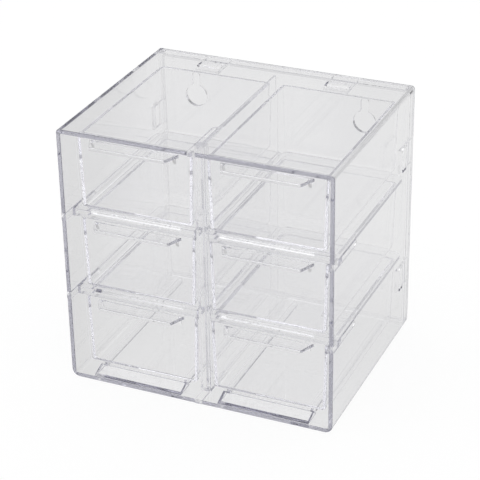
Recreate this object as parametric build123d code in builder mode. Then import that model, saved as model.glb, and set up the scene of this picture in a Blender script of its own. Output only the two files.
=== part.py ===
from build123d import *
import os

# A clear plastic desktop drawer organizer: a sleeve with a snap-in back, two shelves,
# a centre divider and six drawers.
# Millimetres. +Z is up, +X is to the right as seen from the front, and +Y runs to the back.
# The origin is on the surface that the case stands on, under the middle of the case.

# Case
case_width = 170.0
case_depth = 135.0
case_height = 165.0
case_wall = 2.6
case_top_radius = 2.2
case_bottom_radius = 5.0
case_inner_radius = 0.6
case_rim_radius = 0.5

# Clearances
fit_gap = 0.15
running_gap = 0.3
cut_overrun = 1.0

# Rows and columns
row_names = ("bottom", "middle", "top")
column_sides = {"left": -1, "right": 1}
top_head_room = 3.2
drawer_head_gap = 1.4
drawer_post_gap = 0.5
drawer_wall_gap = 4.3
rim_setback = 8.5
ledge_depth = 2.0

# Slots that are open at the front edge of the case, and the tabs that slide into them
slot_length = 36.5
divider_tab_width = 4.8

# Snap windows near the back edge of the case
window_length = 16.0
window_depth = 8.5
window_radius = 2.0
window_back_inset = 11.5
side_window_spacing = 82.0
top_window_spacing = 84.0

# Runners and front ramps on the floor of the case; a ramp is a sloping plate, open below to the back
runner_height = 3.6
runner_width = 2.4
runner_spacing = 54.0
ramp_width = 58.0
ramp_nose_height = 0.3
ramp_crest_depth = 3.0
ramp_front_inset = 0.6
ramp_back_gap = 0.6
ramp_wall = 1.2

# Shelves
shelf_thickness = 2.2
shelf_short_fall = 2.4
shelf_corner_radius = 5.0
bar_height = 4.8
bar_depth = 6.0
bar_ramp_drop = 1.6
shelf_slot_end = -3.0

# Centre divider
web_thickness = 1.4
post_width = 6.8
post_depth = 6.0
post_edge_radius = 0.6

# Back panel
panel_inset = 7.3
panel_thickness = 2.4
panel_back_gap = 0.3
flange_wall = 1.8
flange_slit = 1.0
tongue_thickness = 1.6
tongue_side_gap = 0.4
tongue_nose = 1.6
hook_side_gap = 1.0
hook_end_gap = 0.5
hook_crest = 4.2
hook_under_flush = 0.3
keyhole_spacing = 112.0
keyhole_drop = 27.0
keyhole_head_diameter = 14.5
keyhole_slot_width = 5.2
keyhole_slot_rise = 13.0

# Drawers
front_rise = 1.2
front_overhang = 0.5
front_thickness = 2.2
front_corner_radius = 2.0
front_edge_radius = 0.2
tray_wall = 1.8
tray_floor = 1.8
tray_bottom_radius = 3.6
tray_rear_radius = 3.0
tray_rim_drop = 1.7
drawer_taper = 1.4
drawer_back_gap = 4.2

# Lip handles
handle_root_width = 56.5
handle_tip_width = 47.5
handle_reach = 10.0
handle_thickness = 2.0
handle_drop = 1.2
handle_tip_radius = 1.2
handle_edge_radius = 0.5
gusset_thickness = 1.5
gusset_height = 4.0
gusset_reach = 2.2
gusset_inset = 2.4

# Places that follow from the sizes above
front_y = -case_depth / 2
back_y = case_depth / 2
mid_z = case_height / 2
inner_half_width = case_width / 2 - case_wall
inner_top = case_height - case_wall
inner_height = inner_top - case_wall

bar_front_y = front_y + rim_setback
drawer_front_y = bar_front_y + ledge_depth
panel_front_y = back_y - panel_inset
drawer_back_y = panel_front_y - drawer_back_gap
shelf_back_y = drawer_back_y - shelf_short_fall
ramp_back_y = drawer_front_y - ramp_back_gap
window_y = back_y - window_back_inset - window_depth / 2

# Each drawer front is widest at its top: from beside the post to beside the wall of the case
front_inner_x = post_width / 2 + drawer_post_gap
front_outer_x = inner_half_width - drawer_wall_gap
front_width = front_outer_x - front_inner_x
bay_centre = (front_inner_x + front_outer_x) / 2
row_pitch = (inner_height - runner_height - top_head_room + bar_height) / len(row_names)
level_heights = [case_wall + runner_height + row_pitch * row for row in range(len(row_names))]

side_window_heights = [mid_z + share * side_window_spacing / 2 for share in (-1, 1)]
top_window_places = [share * top_window_spacing / 2 for share in (-1, 1)]
keyhole_height = case_height - keyhole_drop

os.makedirs("parts", exist_ok=True)


def finish_piece(piece, name):
    """Name a finished piece and write its file."""
    piece.label = name
    export_step(piece, f"parts/{name}.step")


# Outer shell: a sleeve with runners and front ramps on its floor
with BuildPart() as outer_shell:
    with BuildSketch(Plane.XZ.offset(-front_y)) as sleeve:
        with Locations((0, mid_z)):
            Rectangle(case_width, case_height)
        fillet(sleeve.vertices().group_by(Axis.Y)[-1], radius=case_top_radius)
        fillet(sleeve.vertices().group_by(Axis.Y)[0], radius=case_bottom_radius)
        with Locations((0, mid_z)):
            RectangleRounded(2 * inner_half_width, inner_height, case_inner_radius, mode=Mode.SUBTRACT)
    extrude(amount=-case_depth)
    rims = outer_shell.faces().sort_by(Axis.Y)
    fillet(rims[0].edges() + rims[-1].edges(), radius=case_rim_radius)

    runner_front_y = ramp_back_y
    runner_length = shelf_back_y - runner_front_y
    runner_y = runner_front_y + runner_length / 2
    with BuildSketch(Plane.XY.offset(case_wall / 2)):
        for side in column_sides.values():
            for share in (-1, 1):
                with Locations((side * bay_centre + share * runner_spacing / 2, runner_y)):
                    Rectangle(runner_width, runner_length)
    extrude(amount=case_wall / 2 + runner_height)

    ramp_front_y = front_y + ramp_front_inset
    ramp_crest_y = ramp_back_y + ramp_crest_depth
    ramp_nose = case_wall + ramp_nose_height
    floor_level = level_heights[0]
    floor_slope = (floor_level - ramp_nose) / (ramp_back_y - ramp_front_y)
    hollow_drop = ramp_wall * (1 + floor_slope**2) ** 0.5
    hollow_front_y = ramp_front_y + (hollow_drop - ramp_nose_height) / floor_slope
    for side in column_sides.values():
        with BuildSketch(Plane.YZ.offset(side * bay_centre - ramp_width / 2)):
            with BuildLine():
                Polyline(
                    (ramp_front_y, case_wall / 2),
                    (ramp_front_y, ramp_nose),
                    (ramp_back_y, floor_level),
                    (ramp_crest_y, floor_level),
                    (ramp_crest_y, case_wall / 2),
                    close=True,
                )
            make_face()
        extrude(amount=ramp_width)
        with BuildSketch(Plane.YZ.offset(side * bay_centre - ramp_width / 2 + ramp_wall)):
            with BuildLine():
                Polyline(
                    (hollow_front_y, case_wall),
                    (ramp_back_y, floor_level - hollow_drop),
                    (ramp_crest_y, floor_level - hollow_drop),
                    (ramp_crest_y, case_wall),
                    close=True,
                )
            make_face()
        extrude(amount=ramp_width - 2 * ramp_wall, mode=Mode.SUBTRACT)

    # Slots for the shelf tabs in the side walls and for the divider tabs in the top and the bottom
    with BuildSketch(Plane.YZ):
        for level in level_heights[1:]:
            with Locations((front_y, level - bar_height / 2)):
                SlotOverall(2 * slot_length, bar_height + 2 * fit_gap)
    extrude(amount=case_width, both=True, mode=Mode.SUBTRACT)
    with BuildSketch(Plane.XY):
        with Locations((0, front_y)):
            SlotOverall(2 * slot_length, divider_tab_width + 2 * fit_gap, rotation=90)
    extrude(amount=case_height, mode=Mode.SUBTRACT)

    # Snap windows
    with BuildSketch(Plane.YZ):
        with Locations(*[(window_y, height) for height in side_window_heights]):
            RectangleRounded(window_depth, window_length, window_radius)
    extrude(amount=case_width, both=True, mode=Mode.SUBTRACT)
    with BuildSketch(Plane.XY):
        with Locations(*[(place, window_y) for place in top_window_places]):
            RectangleRounded(window_length, window_depth, window_radius)
    extrude(amount=case_height, mode=Mode.SUBTRACT)
finish_piece(outer_shell.part, "outer_shell")


# Back panel: a plate with a flange round its back, snap tongues and two keyholes
panel_width = 2 * (inner_half_width - fit_gap)
panel_height = inner_height - 2 * fit_gap
panel_back_y = panel_front_y + panel_thickness
flange_depth = panel_inset - panel_thickness - panel_back_gap
tongue_width = window_length - 2 * tongue_side_gap
tongue_front_y = window_y - window_depth / 2 - tongue_nose
hook_width = window_length - 2 * hook_side_gap
hook_front_y = window_y - window_depth / 2 + hook_end_gap
hook_back_y = window_y + window_depth / 2 - hook_end_gap
hook_rise = case_wall - hook_under_flush

# One plane for each tongue: local x runs back along the wall, local y points out through it
tongue_planes = []
for share in (-1, 1):
    for height in side_window_heights:
        wall_point = (share * inner_half_width, 0, height)
        tongue_planes.append(Plane(wall_point, x_dir=(0, 1, 0), z_dir=(0, 0, -share)))
    for place in top_window_places:
        wall_point = (place, 0, inner_top if share > 0 else case_wall)
        tongue_planes.append(Plane(wall_point, x_dir=(0, 1, 0), z_dir=(share, 0, 0)))

recess_width = panel_width - 2 * flange_wall
recess_height = panel_height - 2 * flange_wall
slit_length = flange_depth + cut_overrun

with BuildPart() as back_panel:
    with BuildSketch(Plane.XZ.offset(-panel_front_y)):
        with Locations((0, mid_z)):
            RectangleRounded(panel_width, panel_height, case_inner_radius)
    extrude(amount=-(panel_thickness + flange_depth))
    with BuildSketch(Plane.XZ.offset(-panel_back_y)):
        with Locations((0, mid_z)):
            RectangleRounded(recess_width, recess_height, case_inner_radius)
    extrude(amount=-slit_length, mode=Mode.SUBTRACT)

    for plane in tongue_planes:
        with BuildSketch(plane):
            with BuildLine():
                Polyline(
                    (tongue_front_y, -fit_gap - tongue_thickness),
                    (tongue_front_y, -fit_gap),
                    (panel_back_y, -fit_gap),
                    (panel_back_y, -fit_gap - tongue_thickness),
                    close=True,
                )
            make_face()
        extrude(amount=tongue_width / 2, both=True)
        with BuildSketch(plane):
            with BuildLine():
                Polyline(
                    (hook_front_y, -fit_gap - tongue_thickness / 2),
                    (hook_front_y, -fit_gap),
                    (hook_back_y - hook_crest, hook_rise),
                    (hook_back_y, hook_rise),
                    (hook_back_y, -fit_gap - tongue_thickness / 2),
                    close=True,
                )
            make_face()
        extrude(amount=hook_width / 2, both=True)
        for share in (-1, 1):
            with BuildSketch(plane.offset(share * (tongue_width + flange_slit) / 2)):
                with Locations((panel_back_y + slit_length / 2, -fit_gap - flange_wall / 2)):
                    Rectangle(slit_length, flange_wall + 2 * fit_gap)
            extrude(amount=flange_slit / 2, both=True, mode=Mode.SUBTRACT)

    with BuildSketch(Plane.XZ.offset(-panel_front_y)):
        for share in (-1, 1):
            with Locations((share * keyhole_spacing / 2, keyhole_height)):
                Circle(keyhole_head_diameter / 2)
            with Locations((share * keyhole_spacing / 2, keyhole_height + keyhole_slot_rise / 2)):
                SlotCenterToCenter(keyhole_slot_rise, keyhole_slot_width, rotation=90)
    extrude(amount=-panel_thickness, mode=Mode.SUBTRACT)
finish_piece(back_panel.part, "back_panel")


# Shelf, with its running surface at height zero: a plate, a front bar with two ramps, and two side tabs
shelf_half_width = inner_half_width - fit_gap
shelf_depth = shelf_back_y - bar_front_y
tab_length = slot_length - fit_gap
tab_radius = bar_height / 2
ramp_run = ramp_back_y - bar_front_y
ramp_slope = bar_ramp_drop / ramp_run

with BuildPart() as shelf:
    with BuildSketch(Plane.XY.offset(-shelf_thickness)) as plate:
        with Locations((0, bar_front_y + shelf_depth / 2)):
            Rectangle(2 * shelf_half_width, shelf_depth)
        fillet(plate.vertices().group_by(Axis.Y)[-1], radius=shelf_corner_radius)
    extrude(amount=shelf_thickness)
    with BuildSketch(Plane.XY.offset(-bar_height)):
        with Locations((0, bar_front_y + bar_depth / 2)):
            Rectangle(2 * shelf_half_width, bar_depth)
    extrude(amount=bar_height)

    for side in column_sides.values():
        with BuildSketch(Plane.YZ.offset(side * (shelf_half_width - fit_gap))):
            with Locations((front_y + (tab_length - tab_radius) / 2, -bar_height / 2)):
                Rectangle(tab_length - tab_radius, bar_height)
            with Locations((front_y + tab_length - tab_radius, -bar_height / 2)):
                Circle(tab_radius)
        extrude(amount=side * (case_width / 2 - shelf_half_width + fit_gap))
        with BuildSketch(Plane.YZ.offset(side * bay_centre - ramp_width / 2)):
            with BuildLine():
                Polyline(
                    (ramp_back_y, 0),
                    (ramp_back_y, cut_overrun),
                    (bar_front_y - cut_overrun, cut_overrun),
                    (bar_front_y - cut_overrun, -ramp_slope * (ramp_run + cut_overrun)),
                    close=True,
                )
            make_face()
        extrude(amount=ramp_width, mode=Mode.SUBTRACT)

    # Opening for the divider's post, then for the front half of its web
    notch_front_y = bar_front_y - cut_overrun
    notch_back_y = drawer_front_y + post_depth + fit_gap
    with BuildSketch(Plane.XY.offset(-bar_height - cut_overrun)):
        with Locations((0, (notch_front_y + notch_back_y) / 2)):
            Rectangle(post_width + 2 * fit_gap, notch_back_y - notch_front_y)
        with Locations((0, (bar_front_y + shelf_slot_end) / 2)):
            Rectangle(web_thickness + 2 * fit_gap, shelf_slot_end - bar_front_y)
    extrude(amount=bar_height + 2 * cut_overrun, mode=Mode.SUBTRACT)

for name, level in zip(("lower_shelf", "upper_shelf"), level_heights[1:]):
    with BuildPart() as placed_shelf:
        with Locations((0, 0, level)):
            add(shelf.part)
    finish_piece(placed_shelf.part, name)


# Centre divider: a web with a front post and a tab at each end, slotted from the back for the shelves
web_bottom = case_wall + fit_gap
web_height = inner_height - 2 * fit_gap
web_depth = shelf_back_y - drawer_front_y
divider_tab_radius = divider_tab_width / 2
crossing_front_y = shelf_slot_end - fit_gap
crossing_back_y = shelf_back_y + cut_overrun

with BuildPart() as centre_divider:
    with BuildSketch(Plane.XY.offset(web_bottom)):
        with Locations((0, (drawer_front_y + shelf_back_y) / 2)):
            Rectangle(web_thickness, web_depth)
        with Locations((0, drawer_front_y + post_depth / 2)):
            RectangleRounded(post_width, post_depth, post_edge_radius)
    extrude(amount=web_height)

    for wall_bottom in (0, case_height - case_wall - 2 * fit_gap):
        with BuildSketch(Plane.XY.offset(wall_bottom)):
            with Locations((0, front_y + (tab_length - divider_tab_radius) / 2)):
                Rectangle(divider_tab_width, tab_length - divider_tab_radius)
            with Locations((0, front_y + tab_length - divider_tab_radius)):
                Circle(divider_tab_radius)
        extrude(amount=case_wall + 2 * fit_gap)

    with BuildSketch(Plane.YZ):
        for level in level_heights[1:]:
            with Locations(((crossing_front_y + crossing_back_y) / 2, level - shelf_thickness / 2)):
                Rectangle(crossing_back_y - crossing_front_y, shelf_thickness + 2 * fit_gap)
    extrude(amount=post_width, both=True, mode=Mode.SUBTRACT)
finish_piece(centre_divider.part, "centre_divider")


# Drawer, with its underside at height zero and its middle at x zero:
# a tray that tapers towards its floor, a slightly wider front and a lip handle
drawer_height = row_pitch - bar_height - running_gap - drawer_head_gap
tray_width = front_width - 2 * front_overhang
tray_height = drawer_height - tray_rim_drop
tray_front_y = drawer_front_y + front_thickness
tray_length = drawer_back_y - tray_front_y
handle_top = drawer_height - handle_drop
side_slope = drawer_taper / drawer_height


def tapered_corners(half_width, bottom, top):
    """Corners of the tapered drawer between two heights, from its half width at the top."""
    low = half_width - side_slope * (drawer_height - bottom)
    high = half_width - side_slope * (drawer_height - top)
    return (-low, bottom), (low, bottom), (high, top), (-high, top)


# The space inside the tray
with BuildPart() as tray_space:
    with BuildSketch(Plane.XZ.offset(-tray_front_y)) as space_outline:
        with BuildLine():
            Polyline(*tapered_corners(tray_width / 2 - tray_wall, tray_floor, drawer_height), close=True)
        make_face()
        fillet(space_outline.vertices().group_by(Axis.Y)[0], radius=tray_bottom_radius - tray_wall)
    extrude(amount=-(tray_length - tray_wall))
    space_end = tray_space.faces().sort_by(Axis.Y)[-1]
    fillet(space_end.edges().sort_by(Axis.Z)[:-1], radius=tray_rear_radius - tray_wall)

# The lip handle, with its edges rounded all round except at its root
with BuildPart() as handle:
    with BuildSketch(Plane.XY.offset(handle_top - handle_thickness)) as lip:
        with BuildLine():
            Polyline(
                (-handle_root_width / 2, drawer_front_y + front_edge_radius),
                (-handle_root_width / 2, drawer_front_y),
                (-handle_tip_width / 2, drawer_front_y - handle_reach),
                (handle_tip_width / 2, drawer_front_y - handle_reach),
                (handle_root_width / 2, drawer_front_y),
                (handle_root_width / 2, drawer_front_y + front_edge_radius),
                close=True,
            )
        make_face()
        fillet(lip.vertices().group_by(Axis.Y)[0], radius=handle_tip_radius)
    extrude(amount=handle_thickness)
    lip_faces = handle.faces().sort_by(Axis.Z)
    for lip_face in (lip_faces[0], lip_faces[-1]):
        fillet(lip_face.edges().sort_by(Axis.Y)[:-1], radius=handle_edge_radius)

with BuildPart() as drawer:
    with BuildSketch(Plane.XZ.offset(-tray_front_y)) as tray_outline:
        with BuildLine():
            Polyline(*tapered_corners(tray_width / 2, 0, tray_height), close=True)
        make_face()
        fillet(tray_outline.vertices().group_by(Axis.Y)[0], radius=tray_bottom_radius)
    extrude(amount=-tray_length)
    tray_end = drawer.faces().sort_by(Axis.Y)[-1]
    fillet(tray_end.edges().sort_by(Axis.Z)[:-1], radius=tray_rear_radius)
    add(tray_space.part, mode=Mode.SUBTRACT)

    with BuildSketch(Plane.XZ.offset(-drawer_front_y)) as front_outline:
        with BuildLine():
            Polyline(*tapered_corners(front_width / 2, front_rise, drawer_height), close=True)
        make_face()
        fillet(front_outline.vertices(), radius=front_corner_radius)
    extrude(amount=-front_thickness)
    fillet(drawer.faces().sort_by(Axis.Y)[0].edges(), radius=front_edge_radius)

    add(handle.part)
    gusset_top = handle_top - handle_thickness
    gusset_place = handle_root_width / 2 - gusset_inset
    for share in (-1, 1):
        with BuildSketch(Plane.YZ.offset(share * gusset_place)):
            with BuildLine():
                Polyline(
                    (drawer_front_y + front_edge_radius, gusset_top),
                    (drawer_front_y - gusset_reach, gusset_top),
                    (drawer_front_y, gusset_top - gusset_height),
                    (drawer_front_y + front_edge_radius, gusset_top - gusset_height),
                    close=True,
                )
            make_face()
        extrude(amount=gusset_thickness / 2, both=True)

for row_name, level in zip(row_names, level_heights):
    for column_name, side in column_sides.items():
        with BuildPart() as placed_drawer:
            with Locations((side * bay_centre, 0, level + running_gap)):
                add(drawer.part)
        finish_piece(placed_drawer.part, f"drawer_{row_name}_{column_name}")
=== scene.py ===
"""Looks of the clear desktop drawer organizer: a snap-together case with six pull-out drawers.

Metres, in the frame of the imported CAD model. All the shapes come from the CAD nodes.
This script gives them their clear plastic, and sets up the camera, the studio and the light.
"""

import math

import bpy
from mathutils import Matrix, Vector

# Clear plastic
PLASTIC_IOR = 1.59
RESIN_ABSORBED = (0.5, 0.495, 0.59, 1.0)
SHADOW_TINT = (0.86, 0.87, 0.88, 1.0)
CASE_THIN = (0.996, 0.996, 0.997, 1.0)
CASE_FULL = (0.986, 0.986, 0.989, 1.0)
CASE_CLOUDY = 0.012
CASE_DENSITY = 8.0
INSERT_DENSITY = 2.5
DRAWER_THIN = (1.0, 1.0, 1.0, 1.0)
DRAWER_FULL = (0.993, 0.993, 0.995, 1.0)
DRAWER_CLOUDY = 0.018
DRAWER_DENSITY = 3.0

# Patterns in the plastic
WAVE_STRETCH = (1.0, 0.45, 0.7)
WAVE_SCALE = 22.0
WAVE_DETAIL = 1.0
WAVE_HEIGHT = 0.00003
CLOUD_SCALE = 38.0
CLOUD_DETAIL = 3.0
CLOUD_RANGE = (0.45, 0.75)
HAIRLINE_TURN = (0.5, 0.3, 0.9)
HAIRLINE_STRETCH = (1.0, 0.03, 1.0)
HAIRLINE_SCALE = 420.0
HAIRLINE_DETAIL = 1.0
HAIRLINE_RANGE = (0.76, 0.8)
HAIRLINE_ROUGHNESS = 0.03
TINT_SCALE = 14.0
TINT_DETAIL = 2.0
TINT_RANGE = (0.3, 0.7)

# Camera, fitted to the corners of the case in the photograph
CAMERA_AZIMUTH = 23.985
CAMERA_ELEVATION = 27.878
CAMERA_ROLL = -0.985
CAMERA_DISTANCE = 1.0579
CAMERA_TARGET = (-0.00118, 0.0, 0.07694)
CAMERA_LENS = 130.78
CAMERA_SENSOR = 36.0

# Paper floor. The last four paint shade onto the paper's glow: each maps a distance on the floor
# (from, to) to a share of the grey (from, to)
FLOOR_RADIUS = 6.0
FLOOR_SIDES = 96
FLOOR_GAP = 0.0002
PAPER_COLOUR = (0.97, 0.97, 0.97, 1.0)
PAPER_SHADOW_SHARE = 0.08
PAPER_GREY = 0.87
PAPER_RIGHTWARDS = (0.9137, 0.4065, 0.0)
PAPER_PAINTED_SHADE_NEAR = (0.05, 0.2, 0.91, 1.0)
PAPER_PAINTED_FALLOFF_FAR = (0.5, 1.5, 1.0, 0.55)
PAPER_PAINTED_SHADE_LEFT = (-0.118, -0.068, 0.84, 1.0)
PAPER_PAINTED_SHADE_RIGHT = (0.05, 0.12, 1.0, 0.95)

# Room: its grey by the height of the direction. It is dim overhead, where the softbox adds to it
ROOM_GREYS = ((0.0, 0.4), (0.15, 0.48), (0.36, 0.72), (0.58, 0.72), (0.74, 0.42))
ROOM_BLUE = 1.01
NEW_STOP = 0.5
WHITE = (1.0, 1.0, 1.0, 1.0)

# Softboxes: name, place, width, height and watts
SOFTBOX_AIM = (0.0, 0.0, 0.08)
SOFTBOXES = (
    ("softbox_top", (0.0, 0.2, 1.6), 3.2, 3.0, 29.0),
    ("softbox_left", (-1.4, -0.7, 0.9), 0.9, 1.2, 3.0),
)

# Light paths, long enough for many clear walls behind each other
MAX_BOUNCES = 200
TRANSMISSION_BOUNCES = 100
GLOSSY_BOUNCES = 200
TRANSPARENT_BOUNCES = 40

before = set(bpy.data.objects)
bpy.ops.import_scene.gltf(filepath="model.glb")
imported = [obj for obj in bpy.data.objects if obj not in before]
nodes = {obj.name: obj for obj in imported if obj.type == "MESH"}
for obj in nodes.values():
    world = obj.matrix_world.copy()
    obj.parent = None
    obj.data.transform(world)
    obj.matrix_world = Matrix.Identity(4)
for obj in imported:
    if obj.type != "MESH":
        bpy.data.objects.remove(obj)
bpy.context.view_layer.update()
bpy.ops.object.select_all(action="DESELECT")


def link(tree, source, target):
    tree.links.new(source, target)


def new_group(name, inputs, output, output_kind):
    """An empty shader node group: a place, the other inputs as (name, type), and one output."""
    group = bpy.data.node_groups.new(name, "ShaderNodeTree")
    for label, kind in (("Place", "NodeSocketVector"), *inputs):
        group.interface.new_socket(label, in_out="INPUT", socket_type=kind)
    group.interface.new_socket(output, in_out="OUTPUT", socket_type=output_kind)
    start = group.nodes.new("NodeGroupInput")
    end = group.nodes.new("NodeGroupOutput")
    return group, start, end


def add_mapping(tree, vector, stretch, turn=(0.0, 0.0, 0.0)):
    mapping = tree.nodes.new("ShaderNodeMapping")
    mapping.inputs["Rotation"].default_value = turn
    mapping.inputs["Scale"].default_value = stretch
    link(tree, vector, mapping.inputs["Vector"])
    return mapping.outputs["Vector"]


def add_noise(tree, vector, scale, detail):
    noise = tree.nodes.new("ShaderNodeTexNoise")
    noise.inputs["Scale"].default_value = scale
    noise.inputs["Detail"].default_value = detail
    link(tree, vector, noise.inputs["Vector"])
    return noise.outputs["Fac"]


def add_range(tree, value, low, high, to_low=0.0, to_high=1.0):
    """Maps a value from one range to another, smoothly and clamped."""
    step = tree.nodes.new("ShaderNodeMapRange")
    step.interpolation_type = "SMOOTHSTEP"
    step.inputs["From Min"].default_value = low
    step.inputs["From Max"].default_value = high
    step.inputs["To Min"].default_value = to_low
    step.inputs["To Max"].default_value = to_high
    link(tree, value, step.inputs["Value"])
    return step.outputs["Result"]


def add_math(tree, operation, first, second):
    step = tree.nodes.new("ShaderNodeMath")
    step.operation = operation
    for socket, value in zip(step.inputs, (first, second)):
        if isinstance(value, float):
            socket.default_value = value
        else:
            link(tree, value, socket)
    return step.outputs["Value"]


def mix_shaders(tree, share, first, second):
    mix = tree.nodes.new("ShaderNodeMixShader")
    link(tree, share, mix.inputs["Fac"])
    link(tree, first, mix.inputs[1])
    link(tree, second, mix.inputs[2])
    return mix.outputs["Shader"]


def make_flow_waves():
    """Faint waves that the melt leaves in a moulded panel, as a height."""
    group, start, end = new_group("flow_waves", [], "Height", "NodeSocketFloat")
    stretched = add_mapping(group, start.outputs["Place"], WAVE_STRETCH)
    link(group, add_noise(group, stretched, WAVE_SCALE, WAVE_DETAIL), end.inputs["Height"])
    return group


def make_handling_haze():
    """Haze of a handled clear panel: soft cloudy areas crossed by a few hairline scratches."""
    group, start, end = new_group(
        "handling_haze",
        [("Cloudy", "NodeSocketFloat"), ("Scratched", "NodeSocketFloat")],
        "Roughness",
        "NodeSocketFloat",
    )
    place = start.outputs["Place"]
    clouds = add_range(group, add_noise(group, place, CLOUD_SCALE, CLOUD_DETAIL), *CLOUD_RANGE)
    cloudy = add_math(group, "MULTIPLY", clouds, start.outputs["Cloudy"])
    turned = add_mapping(group, place, HAIRLINE_STRETCH, HAIRLINE_TURN)
    hair = add_range(
        group, add_noise(group, turned, HAIRLINE_SCALE, HAIRLINE_DETAIL), *HAIRLINE_RANGE
    )
    scratched = add_math(group, "MULTIPLY", hair, start.outputs["Scratched"])
    link(group, add_math(group, "ADD", cloudy, scratched), end.inputs["Roughness"])
    return group


def make_resin_tint():
    """Cool tint of the resin, a little uneven over a moulding."""
    group, start, end = new_group(
        "resin_tint",
        [("Thin", "NodeSocketColor"), ("Full", "NodeSocketColor")],
        "Color",
        "NodeSocketColor",
    )
    uneven = add_noise(group, start.outputs["Place"], TINT_SCALE, TINT_DETAIL)
    mix = group.nodes.new("ShaderNodeMix")
    mix.data_type = "RGBA"
    link(group, add_range(group, uneven, *TINT_RANGE), mix.inputs["Factor"])
    link(group, start.outputs["Thin"], mix.inputs["A"])
    link(group, start.outputs["Full"], mix.inputs["B"])
    link(group, mix.outputs["Result"], end.inputs["Color"])
    return group


flow_waves = make_flow_waves()
handling_haze = make_handling_haze()
resin_tint = make_resin_tint()


def place_group(tree, group, place, **values):
    node = tree.nodes.new("ShaderNodeGroup")
    node.node_tree = group
    link(tree, place, node.inputs["Place"])
    for label, value in values.items():
        node.inputs[label].default_value = value
    return node


def make_clear_plastic(name, thin, full, cloudy, density):
    """Clear moulded plastic, glass-like. Its groups add a cool tint, waves, haze and scratches."""
    material = bpy.data.materials.new(name)
    material.use_nodes = True
    tree = material.node_tree
    tree.nodes.clear()
    output = tree.nodes.new("ShaderNodeOutputMaterial")
    plastic = tree.nodes.new("ShaderNodeBsdfPrincipled")
    plastic.inputs["Transmission Weight"].default_value = 1.0
    plastic.inputs["Metallic"].default_value = 0.0
    plastic.inputs["IOR"].default_value = PLASTIC_IOR

    place = tree.nodes.new("ShaderNodeTexCoord").outputs["Object"]
    tint = place_group(tree, resin_tint, place, Thin=thin, Full=full)
    haze = place_group(tree, handling_haze, place, Cloudy=cloudy, Scratched=HAIRLINE_ROUGHNESS)
    waves = place_group(tree, flow_waves, place)
    bump = tree.nodes.new("ShaderNodeBump")
    bump.inputs["Strength"].default_value = 1.0
    bump.inputs["Distance"].default_value = WAVE_HEIGHT
    link(tree, waves.outputs["Height"], bump.inputs["Height"])
    link(tree, tint.outputs["Color"], plastic.inputs["Base Color"])
    link(tree, haze.outputs["Roughness"], plastic.inputs["Roughness"])
    link(tree, bump.outputs["Normal"], plastic.inputs["Normal"])

    # Light passes through to the floor, so that the case throws a light shadow
    clear_shadow = tree.nodes.new("ShaderNodeBsdfTransparent")
    clear_shadow.inputs["Color"].default_value = SHADOW_TINT
    path = tree.nodes.new("ShaderNodeLightPath")
    shown = mix_shaders(
        tree, path.outputs["Is Shadow Ray"], plastic.outputs["BSDF"], clear_shadow.outputs["BSDF"]
    )
    link(tree, shown, output.inputs["Surface"])

    # Long ways through the resin, along a panel to its edges, come out darker and cooler
    depth = tree.nodes.new("ShaderNodeVolumeAbsorption")
    depth.inputs["Color"].default_value = RESIN_ABSORBED
    depth.inputs["Density"].default_value = density
    link(tree, depth.outputs["Volume"], output.inputs["Volume"])
    return material


case_clear = make_clear_plastic("case_clear", CASE_THIN, CASE_FULL, CASE_CLOUDY, CASE_DENSITY)
insert_clear = make_clear_plastic("insert_clear", CASE_THIN, CASE_FULL, CASE_CLOUDY, INSERT_DENSITY)
drawer_clear = make_clear_plastic(
    "drawer_clear", DRAWER_THIN, DRAWER_FULL, DRAWER_CLOUDY, DRAWER_DENSITY
)

finishes = {
    "outer_shell": case_clear,
    "upper_shelf": case_clear,
    "lower_shelf": case_clear,
    "back_panel": insert_clear,
    "centre_divider": insert_clear,
}
for name, node in nodes.items():
    node.data.materials.clear()
    node.data.materials.append(finishes.get(name, drawer_clear))


def make_camera():
    """The camera at the photograph's place, with its small roll."""
    azimuth, elevation, roll = map(math.radians, (CAMERA_AZIMUTH, CAMERA_ELEVATION, CAMERA_ROLL))
    back = Vector(
        (
            math.sin(azimuth) * math.cos(elevation),
            -math.cos(azimuth) * math.cos(elevation),
            math.sin(elevation),
        )
    )
    right = Vector((0, 0, 1)).cross(back).normalized()
    up = back.cross(right)
    turned_right = math.cos(roll) * right + math.sin(roll) * up
    turned_up = math.cos(roll) * up - math.sin(roll) * right
    data = bpy.data.cameras.new("camera")
    data.lens = CAMERA_LENS
    data.sensor_width = CAMERA_SENSOR
    camera = bpy.data.objects.new("camera", data)
    bpy.context.scene.collection.objects.link(camera)
    place = Matrix((turned_right, turned_up, back)).transposed().to_4x4()
    place.translation = Vector(CAMERA_TARGET) + back * CAMERA_DISTANCE
    camera.matrix_world = place
    bpy.context.scene.camera = camera


def add_paper_glow_with_painted_shade(tree, place):
    """The paper's glow, with painted shade: a little dimmer close to the case and to its sides, and
    dim far off.
    """
    reach = tree.nodes.new("ShaderNodeVectorMath")
    reach.operation = "LENGTH"
    link(tree, place, reach.inputs[0])
    across = tree.nodes.new("ShaderNodeVectorMath")
    across.operation = "DOT_PRODUCT"
    across.inputs[1].default_value = PAPER_RIGHTWARDS
    link(tree, place, across.inputs[0])
    # Painted shade on the paper's glow: dimmer close to the case and to its sides, and dim far off
    painted_shade_near = add_range(tree, reach.outputs["Value"], *PAPER_PAINTED_SHADE_NEAR)
    painted_falloff_far = add_range(tree, reach.outputs["Value"], *PAPER_PAINTED_FALLOFF_FAR)
    painted_shade_left = add_range(tree, across.outputs["Value"], *PAPER_PAINTED_SHADE_LEFT)
    painted_shade_right = add_range(tree, across.outputs["Value"], *PAPER_PAINTED_SHADE_RIGHT)
    outwards = add_math(tree, "MULTIPLY", painted_shade_near, painted_falloff_far)
    sideways = add_math(tree, "MULTIPLY", painted_shade_left, painted_shade_right)
    dimming = add_math(tree, "MULTIPLY", outwards, sideways)
    return add_math(tree, "MULTIPLY", dimming, PAPER_GREY)


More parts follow.
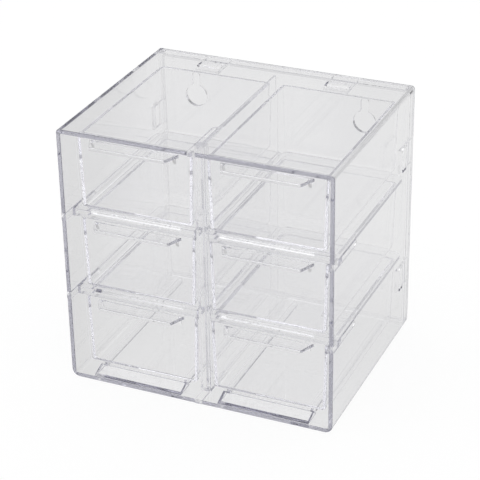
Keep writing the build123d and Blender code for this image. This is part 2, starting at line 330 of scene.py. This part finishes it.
def make_floor():
    """White paper under the case. The camera sees it white, with the case's shadow. Through the
    plastic, and in its gloss, it glows a pale grey with painted shade: dimmer near the case, to its
    sides and far off."""
    bpy.ops.mesh.primitive_circle_add(
        vertices=FLOOR_SIDES, radius=FLOOR_RADIUS, fill_type="NGON", location=(0, 0, -FLOOR_GAP)
    )
    floor = bpy.context.object
    floor.name = "studio_floor"
    material = bpy.data.materials.new("white_paper_floor")
    material.use_nodes = True
    tree = material.node_tree
    tree.nodes.clear()
    output = tree.nodes.new("ShaderNodeOutputMaterial")
    paper = tree.nodes.new("ShaderNodeBsdfDiffuse")
    paper.inputs["Color"].default_value = PAPER_COLOUR
    glow = tree.nodes.new("ShaderNodeEmission")
    path = tree.nodes.new("ShaderNodeLightPath").outputs
    paper_glow_with_painted_shade = add_paper_glow_with_painted_shade(tree, tree.nodes.new("ShaderNodeTexCoord").outputs["Object"])
    by_camera = path["Is Camera Ray"]
    by_plastic = add_math(tree, "MAXIMUM", path["Is Glossy Ray"], path["Is Transmission Ray"])
    # Seen through the plastic or in its gloss, the paper glows with painted shade
    through = add_math(tree, "MULTIPLY", by_plastic, paper_glow_with_painted_shade)
    link(tree, add_math(tree, "MAXIMUM", by_camera, through), glow.inputs["Strength"])
    plain = add_math(tree, "MULTIPLY", by_camera, 1.0 - PAPER_SHADOW_SHARE)
    seen = add_math(tree, "MAXIMUM", plain, by_plastic)
    shown = mix_shaders(tree, seen, paper.outputs["BSDF"], glow.outputs["Emission"])
    link(tree, shown, output.inputs["Surface"])
    floor.data.materials.append(material)


def make_world():
    """A pale studio: white to the camera, and to the plastic a room with dim walls."""
    world = bpy.data.worlds.new("studio")
    bpy.context.scene.world = world
    world.use_nodes = True
    tree = world.node_tree
    tree.nodes.clear()
    output = tree.nodes.new("ShaderNodeOutputWorld")
    room = tree.nodes.new("ShaderNodeBackground")
    white = tree.nodes.new("ShaderNodeBackground")
    white.inputs["Color"].default_value = WHITE
    direction = tree.nodes.new("ShaderNodeTexCoord").outputs["Generated"]
    split = tree.nodes.new("ShaderNodeSeparateXYZ")
    link(tree, direction, split.inputs["Vector"])
    ramp = tree.nodes.new("ShaderNodeValToRGB")
    while len(ramp.color_ramp.elements) < len(ROOM_GREYS):
        ramp.color_ramp.elements.new(NEW_STOP)
    for element, (height, grey) in zip(ramp.color_ramp.elements, ROOM_GREYS):
        element.position = height
        element.color = (grey, grey, grey * ROOM_BLUE, 1.0)
    link(tree, split.outputs["Z"], ramp.inputs["Fac"])
    link(tree, ramp.outputs["Color"], room.inputs["Color"])
    path = tree.nodes.new("ShaderNodeLightPath")
    shown = mix_shaders(
        tree, path.outputs["Is Camera Ray"], room.outputs["Background"], white.outputs["Background"]
    )
    link(tree, shown, output.inputs["Surface"])


def add_softbox(name, place, width, height, watts):
    data = bpy.data.lights.new(name, "AREA")
    data.shape = "RECTANGLE"
    data.size = width
    data.size_y = height
    data.energy = watts
    lamp = bpy.data.objects.new(name, data)
    bpy.context.scene.collection.objects.link(lamp)
    lamp.location = place
    lamp.rotation_euler = (Vector(SOFTBOX_AIM) - Vector(place)).to_track_quat("-Z", "Y").to_euler()


make_camera()
make_floor()
make_world()
for softbox in SOFTBOXES:
    add_softbox(*softbox)

scene = bpy.context.scene
scene.view_settings.view_transform = "Standard"
scene.cycles.max_bounces = MAX_BOUNCES
scene.cycles.transmission_bounces = TRANSMISSION_BOUNCES
scene.cycles.glossy_bounces = GLOSSY_BOUNCES
scene.cycles.transparent_max_bounces = TRANSPARENT_BOUNCES
